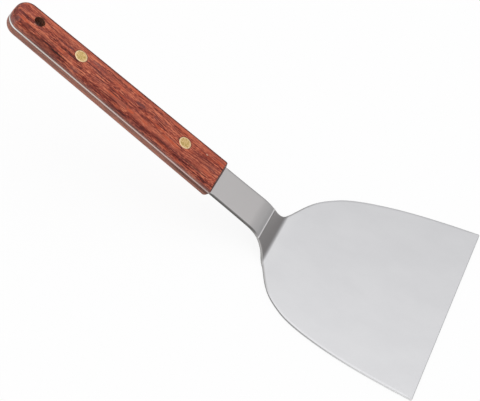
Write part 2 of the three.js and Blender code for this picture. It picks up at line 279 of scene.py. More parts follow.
class Plate:
    """A closed plate with eased edges and drilled holes.

    Plan coordinates are (along, y), along growing backwards from origin on the sheet. The outer
    wall is a stack of loops from the top face to the foot, and each hole is another stack. The two
    faces are filled with rows of quads, and with a triangulation round each hole. Every vertex has
    its own surface normal, so that flat faces shade flat up to their eased rims. An under plate
    is built downwards from the sheet's underside.
    """

    def __init__(self, origin=0.0, under=False, slope=None):
        self.origin, self.under, self.slope = origin, under, slope
        self.points, self.normals, self.plan, self.faces = [], [], [], []
        self.top_holes, self.foot_holes = [], []

    def vertex(self, along, y, height, n_along, n_y, n_up):
        if self.slope and n_up > 0.2:
            n_along -= n_up * self.slope(along)
        self.plan.append((along, y, height))
        if self.under:
            height, n_up = -SHEET - height, -n_up
        at = self.origin + along
        self.points.append(on_sheet(at, y, height))
        self.normals.append(sheet_direction(at, n_along, n_y, n_up).normalized())
        return len(self.points) - 1

    def join(self, loops):
        """Quads between successive closed loops, all running the same way round."""
        for upper, lower in zip(loops, loops[1:]):
            count = len(upper)
            for i in range(count):
                j = (i + 1) % count
                self.faces.append((upper[i], lower[i], lower[j], upper[j]))

    def outer(self, levels, columns):
        """The outer wall, returned as loops. Each level, from the top face down, is
        (half outline, height function, normal function), and a half outline lists
        (along, half width, n_along, n_y) for the +y side, front to butt."""
        self.columns, self.side_count = columns, len(levels[0][0])
        loops = []
        for outline, height, normal in levels:
            front, front_half = outline[0][:2]
            butt, butt_half = outline[-1][:2]
            around = list(outline)
            around += [(butt, butt_half * -c, 1.0, 0.0) for c in columns]
            around += [(at, -half, n_along, -n_y) for at, half, n_along, n_y in reversed(outline)]
            around += [(front, front_half * c, -1.0, 0.0) for c in columns]
            loop = []
            for along, y, n_along, n_y in around:
                out, n_up = normal(along, n_along)
                loop.append(
                    self.vertex(along, y, height(along), n_along * out, n_y * out, n_up)
                )
            loops.append(loop)
        self.join(loops)
        return loops

    def hole(self, centre, rings, segments=72):
        """rings: from the top face down, each (radius, height function, and the inward and
        upward shares of the normal)."""
        loops = []
        for radius, height, inward, n_up in rings:
            loop = []
            for k in range(segments):
                angle = 2 * math.pi * k / segments
                cosine, sine = math.cos(angle), math.sin(angle)
                along = centre + radius * cosine
                loop.append(self.vertex(
                    along, radius * sine, height(along), -cosine * inward, -sine * inward, n_up
                ))
            loops.append(loop)
        self.join(loops)
        self.top_holes.append((centre, rings[0][0], loops[0]))
        self.foot_holes.append((centre, rings[-1][0], loops[-1]))

    def fill(self, loops, top_height, foot_height):
        self.cap(loops[0], top_height, self.top_holes, True)
        self.cap(loops[-1], foot_height, self.foot_holes, False)

    def cap(self, loop, height, holes, top):
        """Fills the face inside an outer loop, leaving the holes, each (centre, radius, loop)."""
        sides, across = self.side_count, len(self.columns)
        right = loop[:sides]  # the +y side, front to butt
        butt = loop[sides : sides + across]  # from +y to -y
        left = list(reversed(loop[sides + across : 2 * sides + across]))
        front = loop[2 * sides + across :]  # from -y to +y
        rows = []
        for j in range(sides):
            along, half, _ = self.plan[right[j]]
            if j == 0:
                inner = front
            elif j == sides - 1:
                inner = list(reversed(butt))
            else:
                inner = []
                for c in self.columns:
                    y = half * c
                    if any(math.hypot(along - at, y) < radius + 0.35 for at, radius, _ in holes):
                        inner.append(None)
                    else:
                        n_up = 1.0 if top else -1.0
                        inner.append(self.vertex(along, y, height(along), 0, 0, n_up))
            rows.append([left[j]] + list(inner) + [right[j]])
        row_at = [self.plan[row[0]][0] for row in rows]
        done = 0
        for centre, radius, hole_loop in sorted(holes):
            reach = radius + 0.6
            low = max(k for k in range(sides) if row_at[k] < centre - reach)
            high = min(k for k in range(sides) if row_at[k] > centre + reach)
            self.quads(rows[done : low + 1], top)
            self.patch(rows[low : high + 1], centre, radius, hole_loop, top)
            done = high
        self.quads(rows[done:], top)

    def add_facing(self, face, top):
        self.faces.append(tuple(face if top else reversed(face)))

    def quads(self, rows, top):
        """Between successive rows, front to back."""
        for a, b in zip(rows, rows[1:]):
            for i in range(len(a) - 1):
                self.add_facing((a[i], a[i + 1], b[i + 1], b[i]), top)

    def patch(self, rows, centre, radius, hole_loop, top):
        """Triangles between a block of rows and the hole in it."""
        ring = list(rows[0]) + [row[-1] for row in rows[1:-1]]
        ring += list(reversed(rows[-1])) + [row[0] for row in reversed(rows[1:-1])]
        inside = [v for row in rows[1:-1] for v in row[1:-1] if v is not None]
        ids = ring + list(hole_loop) + inside
        points = [Vector(self.plan[v][:2]) for v in ids]
        outer, inner = len(ring), len(hole_loop)
        edges = [(i, (i + 1) % outer) for i in range(outer)]
        edges += [(outer + i, outer + (i + 1) % inner) for i in range(inner)]
        out, _, triangles, sources, _, _ = delaunay_2d_cdt(points, edges, [], 0, 1e-7, True)
        vertex_of = [ids[source[0]] for source in sources]
        boundary = points[:outer]
        sides = ({row[0] for row in rows}, {row[-1] for row in rows})
        for triangle in triangles:
            face = [vertex_of[i] for i in triangle]
            if any(all(v in side for v in face) for side in sides):
                continue  # a sliver along the edge
            a, b, c = (out[i] for i in triangle)
            middle = (a + b + c) / 3
            if math.hypot(middle.x - centre, middle.y) < radius:
                continue
            if not inside_polygon(middle, boundary):
                continue
            area = (b.x - a.x) * (c.y - a.y) - (b.y - a.y) * (c.x - a.x)
            if abs(area) < 1e-9:
                continue
            # the plan runs backwards, so a clockwise plan triangle faces out of the top
            if area > 0:
                face.reverse()
            self.add_facing(face, top)

    def make(self, name):
        # building downwards turns every face over
        faces = [tuple(reversed(face)) if self.under else face for face in self.faces]
        return make_object(name, self.points, faces, self.plan, self.normals)


def flat(height):
    return lambda along: height


def eased_rim(radius, ease, face, angles, side=1.0):
    """Rings rounding a hole's edge at the height face(along); side is -1 at an underside."""
    def ring(angle):
        drop = side * ease * (1 - math.cos(angle))
        return (
            radius + ease * (1 - math.sin(angle)),
            lambda along: face(along) - drop,
            math.sin(angle),
            side * math.cos(angle),
        )

    return [ring(angle) for angle in angles]


def front_corner(front, half, radius):
    """The rounded +y corner at the front of a half outline."""
    return [
        (
            front + radius - radius * math.sin(angle),
            half - radius + radius * math.cos(angle),
            -math.sin(angle),
            math.cos(angle),
        )
        for angle in arc(QUARTER, 0.0, 8)
    ]


def grip_outline(marks, butt_steps, origin=0.0, inset=0.0):
    """The +y side of the grip, tapering straight and then rounding into the butt."""
    length = math.hypot(1.0, GRIP_TAPER)
    out = [
        (origin + at, tapered_half(at) - inset, -GRIP_TAPER / length, 1.0 / length)
        for at in spread(marks)
    ]
    radius = BUTT_CORNER_R - inset
    for angle in arc(0.0, QUARTER, butt_steps)[1:]:
        out.append((
            origin + BUTT_START + radius * math.sin(angle),
            tapered_half(BUTT_START) - BUTT_CORNER_R + radius * math.cos(angle),
            math.sin(angle),
            math.cos(angle),
        ))
    return out


# ------------------------------------------------------------------ the sheet


def sheet_half(inset):
    """The +y half outline of the sheet, drawn in by inset(along), front to butt."""
    out = front_corner(0.0, half_width(BLADE_LENGTH), FRONT_CORNER_R)
    places = spread([
        (FRONT_CORNER_R, 1.6), (6.0, 2.5), (60.0, 2.0), (84.0, 1.2), (98.0, 0.7), (106.0, 0.45),
        (AT_BEND, 0.18), (AT_RISER, 0.35), (AT_RIDGE - 0.9, 0.09), (AT_RIDGE + 0.9, 0.45),
        (AT_NECK, 1.2), (AT_GRIP - 0.01, 1),
    ])[1:-1]
    probe = 0.02
    for at in places:
        ahead = half_width(station(at + probe)[0])
        behind = half_width(station(at - probe)[0])
        slope = (ahead - behind) / (2 * probe)
        length = math.hypot(1.0, slope)
        out.append((at, half_width(station(at)[0]), -slope / length, 1.0 / length))
    out += grip_outline([(0.0, 2.0), (20.0, 1.5), (TANG_SIDE_END, 1)], 20, origin=AT_GRIP)
    # gently smooth the normals behind the front corner, where one curve changes to the next
    for _ in range(2):
        smooth = []
        for i, (at, half, n_along, n_y) in enumerate(out):
            if 9 < i < len(out) - 2:
                n_along = (out[i - 1][2] + 2 * n_along + out[i + 1][2]) / 4
                n_y = (out[i - 1][3] + 2 * n_y + out[i + 1][3]) / 4
                length = math.hypot(n_along, n_y)
                n_along, n_y = n_along / length, n_y / length
            smooth.append((at, half, n_along, n_y))
        out = smooth
    return [
        (at - inset(at) * n_along, half - inset(at) * n_y, n_along, n_y)
        for at, half, n_along, n_y in out
    ]


def ridge(along):
    """The thin line raised along the crease where the press has pinched the sheet; its brightness is a
    painted highlight in the steel's colour.
    """
    return RIDGE_HIGH * math.exp(-(((along - AT_RIDGE) / RIDGE_WIDE) ** 2))


def ridge_slope(along):
    return -2 * (along - AT_RIDGE) / RIDGE_WIDE**2 * ridge(along)


def roll(along):
    """(width, depth) of the top edge's roll. It dies out at the front corners, and the tang
    inside the grip is ground square."""
    before_grip = smooth_ramp(along, AT_GRIP - 0.4, AT_GRIP - 1.8)
    full = smooth_ramp(along, 0.5, 6.0) * before_grip
    share = max(full, 0.3 * before_grip)
    width = ROLL_IN_MIN + (ROLL_IN - ROLL_IN_MIN) * full + 0.25 * (share - full)
    return width, ROLL_DEEP * share


def rolled_level(share):
    """One level down the roll; share runs from 0 at its inner line towards 1 at its outer."""
    def inset(along):
        return ROUND_IN + roll(along)[0] * (1 - share)

    def height(along):
        return ridge(along) - roll(along)[1] * share * share

    def normal(along, n_along):
        width, depth = roll(along)
        out = 2 * depth * share
        length = math.hypot(out, width)
        return out / length, width / length

    return sheet_half(inset), height, normal


def rounded_level(angle):
    """One level down the rounding outside the roll."""
    def inset(along):
        return ROUND_IN * (1 - math.sin(angle))

    def height(along):
        return ridge(along) - roll(along)[1] - ROUND_DEEP * (1 - math.cos(angle))

    def normal(along, n_along):
        width, depth = roll(along)
        n_up = ROUND_IN * math.cos(angle)
        out = ROUND_DEEP * math.sin(angle) + n_up * 2 * depth / width * math.cos(angle)
        length = math.hypot(out, n_up)
        return out / length, n_up / length

    return sheet_half(inset), height, normal


def foot_level(outline, height, angle):
    return outline, flat(height), lambda along, n_along: (math.sin(angle), -math.cos(angle))


def build_sheet():
    plate = Plate(slope=ridge_slope)
    ease = SHEET_UNDER_EASE
    levels = [rolled_level(share) for share in (0.0, 0.25, 0.5, 0.75)]
    levels += [rounded_level(angle) for angle in arc(0.0, QUARTER, 6)]
    for angle in arc(QUARTER, 0.0, 4):
        outline = sheet_half(flat(ease * (1 - math.sin(angle))))
        levels.append(foot_level(outline, -SHEET + ease * (1 - math.cos(angle)), angle))
    loops = plate.outer(levels, [c / 12 for c in range(-11, 12)])
    # each hole: (place, radius, edge ease)
    holes = [(at, TUBE_R + SHANK_GAP, 0.05) for at in RIVETS] + [(HANG_HOLE, HANG_HOLE_R, 0.15)]
    for at, radius, hole_ease in holes:
        rings = eased_rim(radius, hole_ease, flat(0.0), arc(0.0, QUARTER, 3))
        rings += eased_rim(radius, hole_ease, flat(-SHEET), arc(QUARTER, 0.0, 3), side=-1.0)
        plate.hole(AT_GRIP + at, rings)
    plate.fill(loops, ridge, flat(-SHEET))
    return plate


# ------------------------------------------------------------------ the wooden scales


def scale_half(inset, front):
    """The +y half outline of a scale at one height, drawn in by inset round the sides and butt,
    with its front end at front."""
    out = front_corner(front, tapered_half(front) - inset, SCALE_CORNER_R)
    return out + grip_outline([(4.0, 2.0), (20.0, 1.5), (BUTT_START, 1)], 22, inset=inset)


def end_at(height):
    """How far back the leaning front end stands, and how far its surface faces upwards."""
    lean, radius = SCALE_END_SLOPE, SCALE_FRONT_R
    middle = SCALE_FRONT - radius
    middle_at = middle * math.tan(lean) - SCALE_END_FOOT + radius / math.cos(lean)
    if height > middle + radius * math.sin(lean):
        sine = min(1.0, (height - middle) / radius)
        return middle_at - radius * math.sqrt(1 - sine * sine), math.asin(sine)
    return height * math.tan(lean) - SCALE_END_FOOT, lean


def wall_normal(side_angle, end_angle):
    """Normals facing up by side_angle round the sides and butt, by end_angle at the front."""
    def normal(along, n_along):
        angle = side_angle
        if n_along < -0.05:
            angle += (end_angle - side_angle) * -n_along
        return math.cos(angle), math.sin(angle)

    return normal


def edge_level(angle):
    """One level down the large rounding of a scale's face."""
    drop = SCALE_EDGE_R - SCALE_EDGE_R * math.sin(angle)
    front, end_angle = end_at(SCALE_FRONT - drop)
    outline = scale_half(SCALE_EDGE_R * (1 - math.cos(angle)), front)
    return outline, lambda along: top_at(along) - drop, wall_normal(angle, end_angle)


def build_scale(under):
    plate = Plate(AT_GRIP, under)
    levels = [edge_level(angle) for angle in arc(QUARTER, 0.0, 18)]
    ease = SCALE_FOOT_EASE
    wall_foot = scale_half(0.0, end_at(GLUE + ease)[0])
    levels.append((wall_foot, flat(GLUE + ease), wall_normal(0.0, SCALE_END_SLOPE)))
    for angle in arc(QUARTER, 0.0, 3)[1:]:
        height = GLUE + ease * (1 - math.cos(angle))
        inset = ease * (1 - math.sin(angle))
        levels.append(foot_level(scale_half(inset, end_at(height)[0] + inset), height, angle))
    loops = plate.outer(levels, [c / 8 for c in range(-7, 8)])
    head, shank = RIVET_HEAD_R + HEAD_GAP, TUBE_R + SHANK_GAP
    for at in RIVETS:
        seat = top_at(at) - RIVET_HEAD_T - HEAD_GAP
        rings = eased_rim(head, RIVET_EDGE_EASE, top_at, arc(0.0, QUARTER, 3))
        rings += [
            (head, flat(seat + BORE_BREAK), 1.0, 0.0),
            (head - BORE_BREAK, flat(seat), 0.0, 1.0),
            (shank + BORE_BREAK, flat(seat), 0.0, 1.0),
            (shank, flat(seat - BORE_BREAK), 1.0, 0.0),
            (shank, flat(GLUE + BORE_BREAK), 1.0, 0.0),
            (shank + BORE_BREAK, flat(GLUE), 0.0, -1.0),
        ]
        plate.hole(at, rings)
    rings = eased_rim(HANG_HOLE_R, HANG_EDGE_EASE, top_at, arc(0.0, QUARTER, 5))
    rings += [
        (HANG_HOLE_R, flat(GLUE + HANG_BREAK), 1.0, 0.0),
        (HANG_HOLE_R + HANG_BREAK, flat(GLUE), 0.0, -1.0),
    ]
    plate.hole(HANG_HOLE, rings)
    plate.fill(loops, top_at, flat(GLUE))
    return plate


# ------------------------------------------------------------------ rivets


def lathe(name, centre, profile, segments=96):
    """A closed turned piece. profile: (radius, height) from the axis round to the axis."""
    points, plan, faces, rings = [], [], [], []

    def point(x, y, height):
        points.append(on_sheet(AT_GRIP + (centre - x), y, height))
        plan.append((x, y, height))
        return len(points) - 1

    for radius, height in profile:
        if radius < 1e-6:
            rings.append([point(0, 0, height)])
            continue
        angles = [2 * math.pi * k / segments for k in range(segments)]
        rings.append([point(radius * math.cos(t), radius * math.sin(t), height) for t in angles])
    for a, b in zip(rings, rings[1:]):
        for k in range(segments):
            j = (k + 1) % segments
            if len(a) == 1:
                faces.append((a[0], b[k], b[j]))
            elif len(b) == 1:
                faces.append((a[k], b[0], a[j]))
            else:
                faces.append((a[k], b[k], b[j], a[j]))
    obj = make_object(name, points, faces, plan)
    obj.data.set_sharp_from_angle(angle=math.radians(35))
    face_outward(obj.data)
    return obj


def face_outward(mesh):
    """Turns every face of a closed mesh over if the mesh is inside out."""
    volume = 0.0
    for polygon in mesh.polygons:
        corners = [mesh.vertices[v].co for v in polygon.vertices]
        for b, c in zip(corners[1:], corners[2:]):
            volume += corners[0].dot(b.cross(c))
    if volume < 0:
        mesh.flip_normals()


def build_rivet(which, at):
    """A male head with a pin, and a female head with a tube round it from below."""
    top = top_at(at) + RIVET_PROUD
    bottom = -SHEET - top_at(at) - RIVET_PROUD
    under_head, over_head = top - RIVET_HEAD_T, bottom + RIVET_HEAD_T
    face = list(RIVET_FACE)
    for angle in arc(0.0, QUARTER, 6)[1:]:
        radius = RIVET_HEAD_R - RIVET_EASE + RIVET_EASE * math.sin(angle)
        face.append((radius, RIVET_EASE * (1 - math.cos(angle))))
    male = [(radius, top - drop) for radius, drop in face]
    male += [
        (RIVET_HEAD_R, under_head + HEAD_BREAK),
        (RIVET_HEAD_R - HEAD_BREAK, under_head),
        (PIN_R + SHANK_BREAK, under_head),
        (PIN_R, under_head - SHANK_BREAK),
    ]
    male += [(PIN_R - inside, over_head + height) for inside, height in PIN_TIP]
    male.append((0.0, over_head + PIN_TIP[-1][1]))
    tube_end = under_head - TUBE_SHORT
    female = [(radius, bottom + drop) for radius, drop in face]
    female += [
        (RIVET_HEAD_R, over_head - HEAD_BREAK),
        (RIVET_HEAD_R - HEAD_BREAK, over_head),
        (TUBE_R + SHANK_BREAK, over_head),
        (TUBE_R, over_head + SHANK_BREAK),
        (TUBE_R, tube_end - SHANK_BREAK),
        (TUBE_R - SHANK_BREAK, tube_end),
        (TUBE_BORE_R + 0.1, tube_end),
        (TUBE_BORE_R, tube_end - 0.1),
        (TUBE_BORE_R, over_head),
        (0.0, over_head),
    ]
    return (
        lathe(which + "_rivet_male_head", at, male),
        lathe(which + "_rivet_female_head", at, female),
    )


# ------------------------------------------------------------------ shader nodes


def srgb(*channels):
    """A linear colour from 0-255 sRGB channels."""
    def linear(c):
        c /= 255.0
        return c / 12.92 if c <= 0.04045 else ((c + 0.055) / 1.055) ** 2.4

    return (*(linear(c) for c in channels), 1.0)


class Nodes:
    """Builds the node tree of a material or a world."""

    def __init__(self, owner):
        self.owner = owner
        owner.use_nodes = True
        self.tree = owner.node_tree
        self.tree.nodes.clear()

    def add(self, kind, inputs=None, **props):
        node = self.tree.nodes.new("ShaderNode" + kind)
        for key, value in props.items():
            setattr(node, key, value)
        for key, value in (inputs or {}).items():
            self.put(node.inputs[key], value)
        return node

    def put(self, socket, value):
        if isinstance(value, bpy.types.NodeSocket):
            self.tree.links.new(value, socket)
        else:
            socket.default_value = value

    def plan(self):
        return self.add("Attribute", attribute_name="plan").outputs["Vector"]

    def noise(self, vector, scale=None, shift=(0, 0, 0), detail=2.0, roughness=0.5, distortion=0.0):
        """Noise over the vector, scaled and shifted when a scale is given."""
        if scale is not None:
            mapping = self.add("Mapping", {"Vector": vector, "Scale": scale, "Location": shift})
            vector = mapping.outputs["Vector"]
        inputs = {"Vector": vector, "Scale": 1.0, "Detail": detail}
        inputs.update({"Roughness": roughness, "Distortion": distortion})
        return self.add("TexNoise", inputs).outputs["Fac"]

    def math(self, operation, *values):
        inputs = dict(enumerate(values))
        return self.add("Math", inputs, operation=operation).outputs[0]

    def fold(self, operation, values):
        total = values[0]
        for value in values[1:]:
            total = self.math(operation, total, value)
        return total

    def times(self, *values):
        return self.fold("MULTIPLY", values)

    def plus(self, *values):
        return self.fold("ADD", values)

    def minus(self, a, b):
        return self.math("SUBTRACT", a, b)

    def swing(self, value, gain):
        """A noise turned to swing about zero."""
        return self.times(self.minus(value, 0.5), gain)

    def distance(self, a, b):
        squares = self.plus(self.math("POWER", a, 2.0), self.math("POWER", b, 2.0))
        return self.math("SQRT", squares)

    def squares(self, a, b):
        return self.plus(self.times(a, a), self.times(b, b))

    def span(self, value, over, to=(0.0, 1.0), kind="SMOOTHSTEP"):
        """Carries the range over onto the range to, held at its ends."""
        inputs = {"Value": value, "From Min": over[0], "From Max": over[1]}
        inputs.update({"To Min": to[0], "To Max": to[1]})
        node = self.add("MapRange", inputs, clamp=True, interpolation_type=kind)
        return node.outputs["Result"]

    def tint(self, base, mask, to, strength=None):
        """Mixes base towards the colour to by the mask, weakened by strength when given."""
        if strength is not None:
            mask = self.times(mask, strength)
        inputs = {"Factor": mask, 6: base, 7: to}
        return self.add("Mix", inputs, data_type="RGBA").outputs[2]

    def ramp(self, factor, stops):
        node = self.add("ValToRGB")
        elements = node.color_ramp.elements
        while len(elements) < len(stops):
            elements.new(0.5)
        for element, (position, colour) in zip(elements, stops):
            element.position = position
            element.color = colour if len(colour) == 4 else (*colour, 1.0)
        self.put(node.inputs["Fac"], factor)
        return node.outputs["Color"]

    def separate(self, vector):
        return tuple(self.add("SeparateXYZ", {"Vector": vector}).outputs)

    def combine(self, x, y, z):
        return self.add("CombineXYZ", {0: x, 1: y, 2: z}).outputs[0]

    def bump(self, height, distance, strength):
        inputs = {"Height": height, "Distance": distance, "Strength": strength}
        return self.add("Bump", inputs).outputs["Normal"]

    def done(self, **principled):
        inputs = {key.replace("_", " "): value for key, value in principled.items()}
        shader = self.add("BsdfPrincipled", inputs)
        self.add("OutputMaterial", {"Surface": shader.outputs[0]})
        return self.owner


def material_nodes(name):
    return Nodes(bpy.data.materials.new(name))


# ------------------------------------------------------------------ materials

# The sheared edge's colour, by share of the length to the grip: painted light on the blade, painted
# shade on the neck.
CUT_EDGE = [
    (0.0, (0.78, 0.78, 0.78)), (0.22, (0.72, 0.72, 0.72)), (0.42, (0.46, 0.46, 0.46)),
    (0.60, (0.27, 0.27, 0.27)), (0.70, (0.50, 0.49, 0.48)), (0.755, (0.46, 0.45, 0.44)),
    (0.80, (0.12, 0.115, 0.11)), (1.0, (0.10, 0.095, 0.09)),
]
# The tang's edge ground flush with the wood, by share of the grip's length, with painted light and
# shade along it and a painted highlight at the butt's corner.
FLUSH_EDGE = [
    (0.0, (0.43, 0.33, 0.31)), (0.10, (0.60, 0.425, 0.39)), (0.20, (0.64, 0.465, 0.43)),
    (0.45, (0.635, 0.49, 0.45)), (0.71, (0.67, 0.575, 0.53)), (0.86, (0.65, 0.58, 0.53)),
    (0.93, (0.70, 0.65, 0.62)), (0.97, (0.90, 0.88, 0.85)), (1.0, (0.72, 0.70, 0.68)),
]


def steel_material():
    net = material_nodes("satin_steel")
    span, times = net.span, net.times
    plan = net.plan()
    along, y, height = net.separate(plan)
    # fine brushing along the length, a faint broad cloudiness and a few wandering hairlines
    brushed = net.noise(plan, scale=(0.35, 9.0, 4.0), detail=3.0, roughness=0.6)
    fine = net.noise(plan, scale=(3.5, 16.0, 6.0), roughness=0.55)
    cloud = net.noise(plan, scale=(0.03, 0.05, 0.2), detail=3.0, roughness=0.55)
    hair = net.noise(
        plan, scale=(0.05, 2.6, 1.0), shift=(3, 7, 0), detail=4.0, roughness=0.7, distortion=0.6
    )
    off_middle = net.math("ABSOLUTE", net.minus(hair, 0.5))
    hairline = span(off_middle, over=(0.0, 0.012), to=(1.0, 0.0))
    # the top and underside lie at heights 0 and -SHEET, and the cut edge between them
    half = SHEET / 2
    depth = net.math("ABSOLUTE", net.plus(height, half))
    edge = span(depth, over=(half - 0.09, half - 0.16))
    rolled = times(span(height, over=(-0.004, -0.05)), span(height, over=(-half, -SHEET / 4)))
    in_grip = span(along, over=(AT_GRIP - 0.4, AT_GRIP - 0.1))
    light, dark = (0.645, 0.645, 0.652, 1), (0.622, 0.622, 0.63, 1)
    base = net.tint(dark, span(cloud, over=(0.3, 0.7)), to=light)
    streaks = span(brushed, over=(0.3, 0.7))
    base = net.tint(base, streaks, to=(0.45, 0.45, 0.46, 1), strength=0.08)
    base = net.tint(base, hairline, to=(0.85, 0.85, 0.86, 1), strength=0.04)
    # the neck has taken a faint warm tint from its heat treatment
    heated = span(along, over=(AT_RISER, AT_NECK), to=(0.0, 0.8))
    base = net.tint(base, heated, to=(0.590, 0.566, 0.556, 1))
    # painted shade: the riser is darker
    riser = times(
        span(along, over=(AT_BEND + 0.4, AT_RISER + 1.2)),
        span(along, over=(AT_RIDGE + 0.15, AT_RIDGE - 0.25)),
    )
    base = net.tint(base, riser, to=(0.375, 0.358, 0.352, 1))
    # painted highlights: the blade is lighter in front of its bend, and a bright line runs along the
    # crease
    bend_highlight = times(
        span(along, over=(AT_BEND - 7.0, AT_BEND - 0.5)),
        span(along, over=(AT_RISER - 0.6, AT_BEND + 0.6)),
    )
    base = net.tint(base, bend_highlight, to=(0.93, 0.92, 0.90, 1), strength=0.05)
    from_crease = net.math("ABSOLUTE", net.minus(along, AT_RIDGE + 0.25))
    crease = span(from_crease, over=(0.55, 0.2))
    # painted shade: the neck is darker just behind the crease
    crease_shade = times(
        span(along, over=(AT_RIDGE + 0.5, AT_RIDGE + 1.0)),
        span(along, over=(AT_RIDGE + 4.0, AT_RIDGE + 1.2)),
    )
    base = net.tint(base, crease_shade, to=(0.08, 0.08, 0.08, 1), strength=0.14)
    base = net.tint(base, crease, to=(0.95, 0.93, 0.92, 1), strength=0.60)
    # painted shade on the rolled rim where the outline sweeps in tightly to the neck
    swept_rim_shade = times(
        span(along, over=(AT_BEND - 14.0, AT_BEND - 4.0)),
        span(along, over=(AT_RISER + 4.0, AT_RISER)),
    )
    base = net.tint(base, times(rolled, swept_rim_shade), to=(0.34, 0.335, 0.33, 1), strength=0.7)
    # and painted shade on the rim along the neck, more strongly towards -y
    neck = times(
        span(along, over=(AT_RIDGE + 1.0, AT_RIDGE + 5.0)),
        span(height, over=(-0.008, -0.06)),
        span(y, over=(1.0, -1.0), to=(0.45, 1.0)),
        span(height, over=(-half, -SHEET / 4)),
        span(in_grip, over=(0.0, 1.0), to=(1.0, 0.0)),
    )
    base = net.tint(base, neck, to=(0.20, 0.195, 0.19, 1))
    # outside the grip the sheared edge takes CUT_EDGE's painted light and shade
    cut = times(edge, span(in_grip, over=(0.0, 1.0), to=(1.0, 0.0)))
    cut_colour = net.ramp(net.math("DIVIDE", along, AT_GRIP), CUT_EDGE)
    base = net.tint(base, cut, to=cut_colour, strength=0.9)
    # painted shade: the lower corner of that edge is darker again beside the riser
    beside_riser = times(
        span(along, over=(AT_BEND - 3.0, AT_BEND + 1.0)),
        span(along, over=(AT_RIDGE + 6.0, AT_RIDGE + 2.0)),
    )
    lower = times(span(height, over=(-SHEET + 0.50, -SHEET + 0.25)), beside_riser)
    base = net.tint(base, lower, to=(0.12, 0.115, 0.11, 1), strength=0.75)
    # inside the grip the edge was ground flush and takes FLUSH_EDGE's painted light and shade, and it
    # is darker along its two corners next to the wood
    grip_share = net.math("DIVIDE", net.minus(along, AT_GRIP), GRIP_LENGTH)
    base = net.tint(base, times(edge, in_grip), to=net.ramp(grip_share, FLUSH_EDGE))
    edge_corners_dark = times(span(depth, over=(half - 0.32, half - 0.20)), in_grip)
    base = net.tint(base, edge_corners_dark, to=(0.15, 0.10, 0.085, 1), strength=0.72)
    # roughness from the brushing, a little from the cloudiness, and more on the cut edge
    rough = net.plus(
        span(brushed, over=(0.2, 0.8), to=(0.27, 0.34), kind="LINEAR"),
        span(cloud, over=(0.3, 0.7), to=(-0.005, 0.01)),
        times(cut, 0.12),
    )
    # relief: each texture by its weight, the hairlines cut in
    relief = net.plus(times(brushed, 0.7), times(fine, 0.3))
    relief = net.minus(relief, times(hairline, 0.2))
    normal = net.bump(relief, distance=0.000012, strength=0.5)
    return net.done(Base_Color=base, Metallic=1.0, Roughness=rough, Normal=normal)


# The wood's colours from its darkest grain to its lightest.
GRAIN = [
    (0.0, srgb(72, 18, 14)), (0.25, srgb(120, 42, 30)), (0.5, srgb(153, 69, 51)),
    (0.75, srgb(176, 88, 64)), (1.0, srgb(208, 120, 88)),
]


